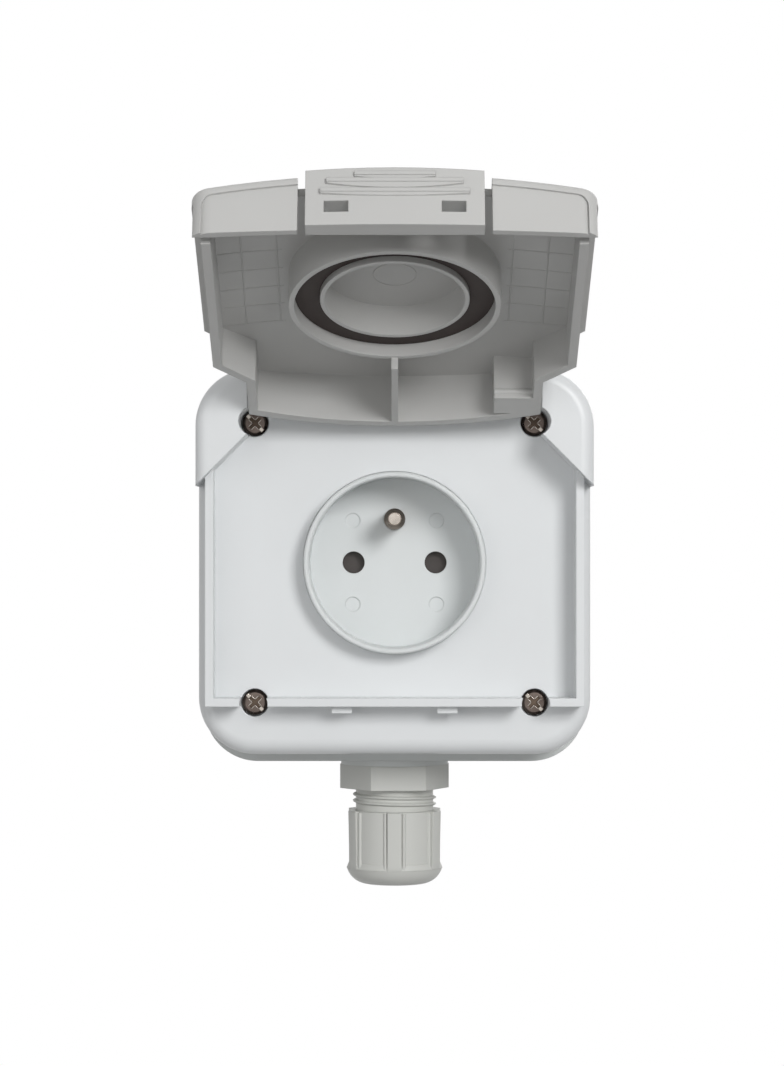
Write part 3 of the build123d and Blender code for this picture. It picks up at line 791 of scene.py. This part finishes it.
        # A pale disc on the pin's end: a painted highlight.
        rings = [[(self.pin_centre[0] + self.pin_tip * math.cos(angle),
                   self.pin_centre[1] - rise,
                   self.pin_centre[2] + self.pin_tip * math.sin(angle))
                  for angle in turn_angles(self.pin_sides)] for rise in (0.0, self.pin_rise)]
        return make_mesh("earth_pin_end", join(rings), loft_rings(rings, True),
                         material_of(self.wear_and_glint), "housing")


def paint(frame: dict, finishes: dict[str, Finish]) -> None:
    """Put finishes on the CAD pieces.

    Args:
        finishes: Each node's finish, by the node's name.
    """
    for node, finish in finishes.items():
        material = material_of(finish)
        mesh = frame["nodes"][node].data
        mesh.materials.clear()
        mesh.materials.append(material)
        LOG.info("%s: %s", node, finish.name)


@dataclass
class Lamp:
    """A square soft lamp that points at the socket."""

    name: str
    place: Point
    side: float
    power: float
    aim: Point = (0.0, -0.05, 0.0)

    def build(self) -> None:
        """Add the lamp to the scene."""
        light = bpy.data.lights.new(self.name, "AREA")
        light.size = self.side
        light.energy = self.power
        lamp = bpy.data.objects.new(self.name, light)
        lamp.location = self.place
        gaze = Vector(self.aim) - Vector(self.place)
        lamp.rotation_euler = gaze.to_track_quat("-Z", "Y").to_euler()
        bpy.context.scene.collection.objects.link(lamp)


@dataclass
class Studio:
    """Camera, lamps, floor, backdrop and background."""

    eye: Point = (-0.0006, -0.783, 0.0041)
    lens: float = 108.7
    sensor: float = 36.0
    tilt: float = 0.21
    clip_start: float = 0.01
    floor_height: float = -0.30
    wall_place: float = 2.60
    half: float = 3.0
    background: float = 0.38
    ground: Colour = (0.35, 0.35, 0.35)
    ground_roughness: float = 0.9
    lamps: list[Lamp] = field(default_factory=lambda: [
        Lamp("key_lamp", (0.42, -1.00, 0.34), 0.35, 6.2),
        Lamp("fill_lamp", (-0.55, -0.98, 0.12), 0.80, 1.8),
        Lamp("back_lamp", (0.45, 1.10, 0.50), 0.80, 4.0),
    ])

    def build(self) -> None:
        """Make the whole studio."""
        self.add_camera()
        self.add_ground()
        self.add_sky()
        for lamp in self.lamps:
            lamp.build()
        bpy.context.scene.view_settings.view_transform = "Standard"

    def add_camera(self) -> None:
        """Put the camera where the photographer stood."""
        data = bpy.data.cameras.new("camera")
        data.lens = self.lens
        data.sensor_width = self.sensor
        data.sensor_fit = "AUTO"
        data.clip_start = self.clip_start
        camera = bpy.data.objects.new("camera", data)
        camera.location = self.eye
        camera.rotation_euler = (math.radians(90 + self.tilt), 0, 0)
        bpy.context.scene.collection.objects.link(camera)
        bpy.context.scene.camera = camera

    def backdrop_material(self) -> bpy.types.Material:
        """A pale surface that reads white to the camera and in reflections.

        Returns:
            The material.
        """
        material, tree, shader = new_material("pale_backdrop")
        shader.inputs["Base Color"].default_value = (*self.ground, 1)
        shader.inputs["Roughness"].default_value = self.ground_roughness
        white = tree.nodes.new("ShaderNodeEmission")
        mix = tree.nodes.new("ShaderNodeMixShader")
        tree.links.new(add_white_rays(tree), mix.inputs["Fac"])
        tree.links.new(shader.outputs["BSDF"], mix.inputs[1])
        tree.links.new(white.outputs["Emission"], mix.inputs[2])
        tree.links.new(mix.outputs["Shader"], tree.nodes["Material Output"].inputs["Surface"])
        return material

    def add_ground(self) -> None:
        """Lay the floor well below and stand the backdrop well behind."""
        material = self.backdrop_material()
        lies = {
            "floor": Matrix.Translation((0, 0, self.floor_height)),
            "backdrop": Matrix.Translation((0, self.wall_place, 0)) @ Matrix.Rotation(
                math.pi / 2, 4, "X"),
        }
        corners = [(-self.half, -self.half, 0), (self.half, -self.half, 0),
                   (self.half, self.half, 0), (-self.half, self.half, 0)]
        for name, lie in lies.items():
            mesh = bpy.data.meshes.new(name)
            mesh.from_pydata([lie @ Vector(c) for c in corners], [], [(0, 1, 2, 3)])
            mesh.materials.append(material)
            piece = bpy.data.objects.new(name, mesh)
            bpy.context.scene.collection.objects.link(piece)

    def add_sky(self) -> None:
        """Light all round at a plain level, white to the camera and in reflections."""
        world = bpy.data.worlds.new("studio_light")
        bpy.context.scene.world = world
        world.use_nodes = True
        tree = world.node_tree
        plain = tree.nodes["Background"]
        plain.inputs["Color"].default_value = (1, 1, 1, 1)
        tree.links.new(add_range(tree, add_white_rays(tree), self.background, 1.0),
                       plain.inputs["Strength"])


def main() -> None:
    """Build every sub-assembly in order."""
    CoverAssembly().dress(frame)
    lid = LidAssembly()
    lid.dress(frame)
    lid.gate_mark()
    lid.grip_crescents()
    lid.mould_lines()
    lid.stop_bead()
    gland = GlandAssembly()
    gland.dress(frame)
    gland.thread()
    gland.nut_beads()
    gland.nut_slope()
    mechanism = Mechanism()
    mechanism.dress(frame)
    mechanism.screw_drives()
    mechanism.pin_end()
    Studio().build()


if __name__ == "__main__":
    logging.basicConfig(level=logging.INFO)
    main()
